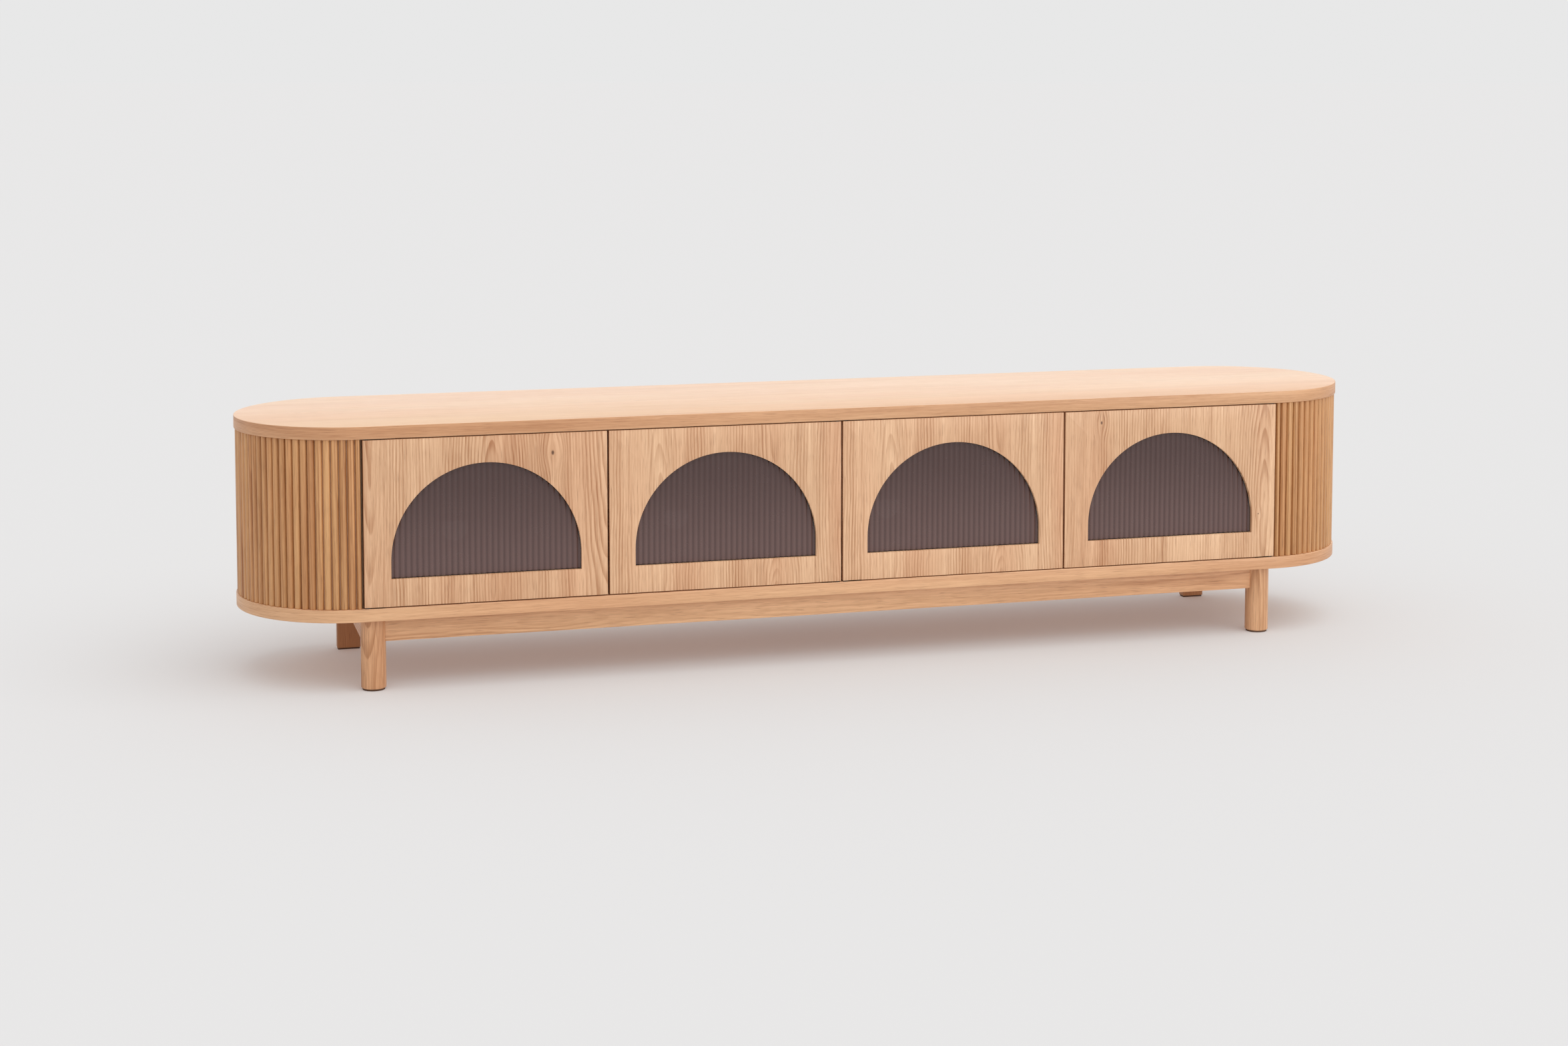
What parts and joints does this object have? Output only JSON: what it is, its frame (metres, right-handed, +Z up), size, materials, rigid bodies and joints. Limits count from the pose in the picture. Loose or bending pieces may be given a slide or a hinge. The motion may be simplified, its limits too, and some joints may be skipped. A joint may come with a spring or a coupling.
{
  "type": "media cabinet",
  "caption": "Low media cabinet with rounded slatted ends, hinged doors with arched reeded-glass windows, adjustable shelves and a raised leg frame.",
  "frame": {"origin": "on the floor, under the centre of the cabinet", "axes": "+X along the cabinet, to the right when facing the doors; +Y from the doors to the back; +Z up"},
  "size_m": [2.1, 0.4, 0.46],
  "materials": {
    "oak_veneer": "satin lacquered oak veneer",
    "solid_oak": "satin lacquered solid oak",
    "oak_interior": "matt lacquered oak veneer",
    "smoked_reeded_glass": "smoked, vertically reeded",
    "zinc_plated_steel": "zinc plated",
    "black_zinc_steel": "black zinc plated",
    "black_acetal": "turned",
    "dark_grommet_plastic": "fine textured",
    "grey_latch_plastic": "moulded",
    "dark_latch_plastic": "moulded",
    "brown_glide": "hard felt on plastic"
  },
  "bodies": {
    "cabinet": {"top_panel": "oak_veneer", "bottom_panel": "oak_veneer", "end_upright_left": "oak_interior", "end_upright_right": "oak_interior", "partition_left": "oak_interior", "partition_centre": "oak_interior", "partition_right": "oak_interior", "back_panel_left": "oak_interior", "back_panel_right": "oak_interior", "back_screws": "zinc_plated_steel", "cable_grommets": "dark_grommet_plastic", "curved_shell_left": "oak_interior", "curved_shell_right": "oak_interior", "slats_left": "solid_oak", "slats_right": "solid_oak", "shelf_1": "oak_interior", "shelf_2": "oak_interior", "shelf_3": "oak_interior", "shelf_4": "oak_interior", "shelf_pins": "zinc_plated_steel", "front_leg_left": "solid_oak", "front_leg_right": "solid_oak", "rear_leg_left": "solid_oak", "rear_leg_right": "solid_oak", "front_rail": "solid_oak", "rear_rail": "solid_oak", "side_rail_left": "solid_oak", "side_rail_right": "solid_oak", "centre_rail": "solid_oak", "corner_blocks": "solid_oak", "base_screws": "zinc_plated_steel", "foot_glides": "brown_glide", "hinge_plates": "black_zinc_steel", "hinge_screws": "black_zinc_steel", "latch_housings": "grey_latch_plastic"},
    "door_1": {"door_frame_1": "oak_veneer", "door_glass_1": "smoked_reeded_glass", "glass_bead_1": "solid_oak", "hinge_bushes_1": "black_acetal", "strike_plate_1": "zinc_plated_steel"},
    "door_2": {"door_frame_2": "oak_veneer", "door_glass_2": "smoked_reeded_glass", "glass_bead_2": "solid_oak", "hinge_bushes_2": "black_acetal", "strike_plate_2": "zinc_plated_steel"},
    "door_3": {"door_frame_3": "oak_veneer", "door_glass_3": "smoked_reeded_glass", "glass_bead_3": "solid_oak", "hinge_bushes_3": "black_acetal", "strike_plate_3": "zinc_plated_steel"},
    "door_4": {"door_frame_4": "oak_veneer", "door_glass_4": "smoked_reeded_glass", "glass_bead_4": "solid_oak", "hinge_bushes_4": "black_acetal", "strike_plate_4": "zinc_plated_steel"},
    "latch_1": {"latch_plunger_1": "dark_latch_plastic"},
    "latch_2": {"latch_plunger_2": "dark_latch_plastic"},
    "latch_3": {"latch_plunger_3": "dark_latch_plastic"},
    "latch_4": {"latch_plunger_4": "dark_latch_plastic"}
  },
  "joints": [
    {"name": "door_1_hinge", "type": "hinge", "parent": "cabinet", "child": "door_1", "pos_m": [-0.8422, -0.193, 0.292], "axis": [0, 0, -1], "range_deg": [0, 90]},
    {"name": "door_2_hinge", "type": "hinge", "parent": "cabinet", "child": "door_2", "pos_m": [-0.0078, -0.193, 0.292], "axis": [0, 0, 1], "range_deg": [0, 90]},
    {"name": "door_3_hinge", "type": "hinge", "parent": "cabinet", "child": "door_3", "pos_m": [0.0078, -0.193, 0.292], "axis": [0, 0, -1], "range_deg": [0, 90]},
    {"name": "door_4_hinge", "type": "hinge", "parent": "cabinet", "child": "door_4", "pos_m": [0.8422, -0.193, 0.292], "axis": [0, 0, 1], "range_deg": [0, 90]},
    {"name": "latch_1_slide", "type": "slide", "parent": "cabinet", "child": "latch_1", "axis": [0, -1, 0], "range_m": [0, 0.02]},
    {"name": "latch_2_slide", "type": "slide", "parent": "cabinet", "child": "latch_2", "axis": [0, -1, 0], "range_m": [0, 0.02]},
    {"name": "latch_3_slide", "type": "slide", "parent": "cabinet", "child": "latch_3", "axis": [0, -1, 0], "range_m": [0, 0.02]},
    {"name": "latch_4_slide", "type": "slide", "parent": "cabinet", "child": "latch_4", "axis": [0, -1, 0], "range_m": [0, 0.02]}
  ],
  "couplings": [
    {"joint": "latch_1_slide", "follows": "door_1_hinge", "m_per_rad": 0.0127},
    {"joint": "latch_2_slide", "follows": "door_2_hinge", "m_per_rad": 0.0127},
    {"joint": "latch_3_slide", "follows": "door_3_hinge", "m_per_rad": 0.0127},
    {"joint": "latch_4_slide", "follows": "door_4_hinge", "m_per_rad": 0.0127}
  ]
}
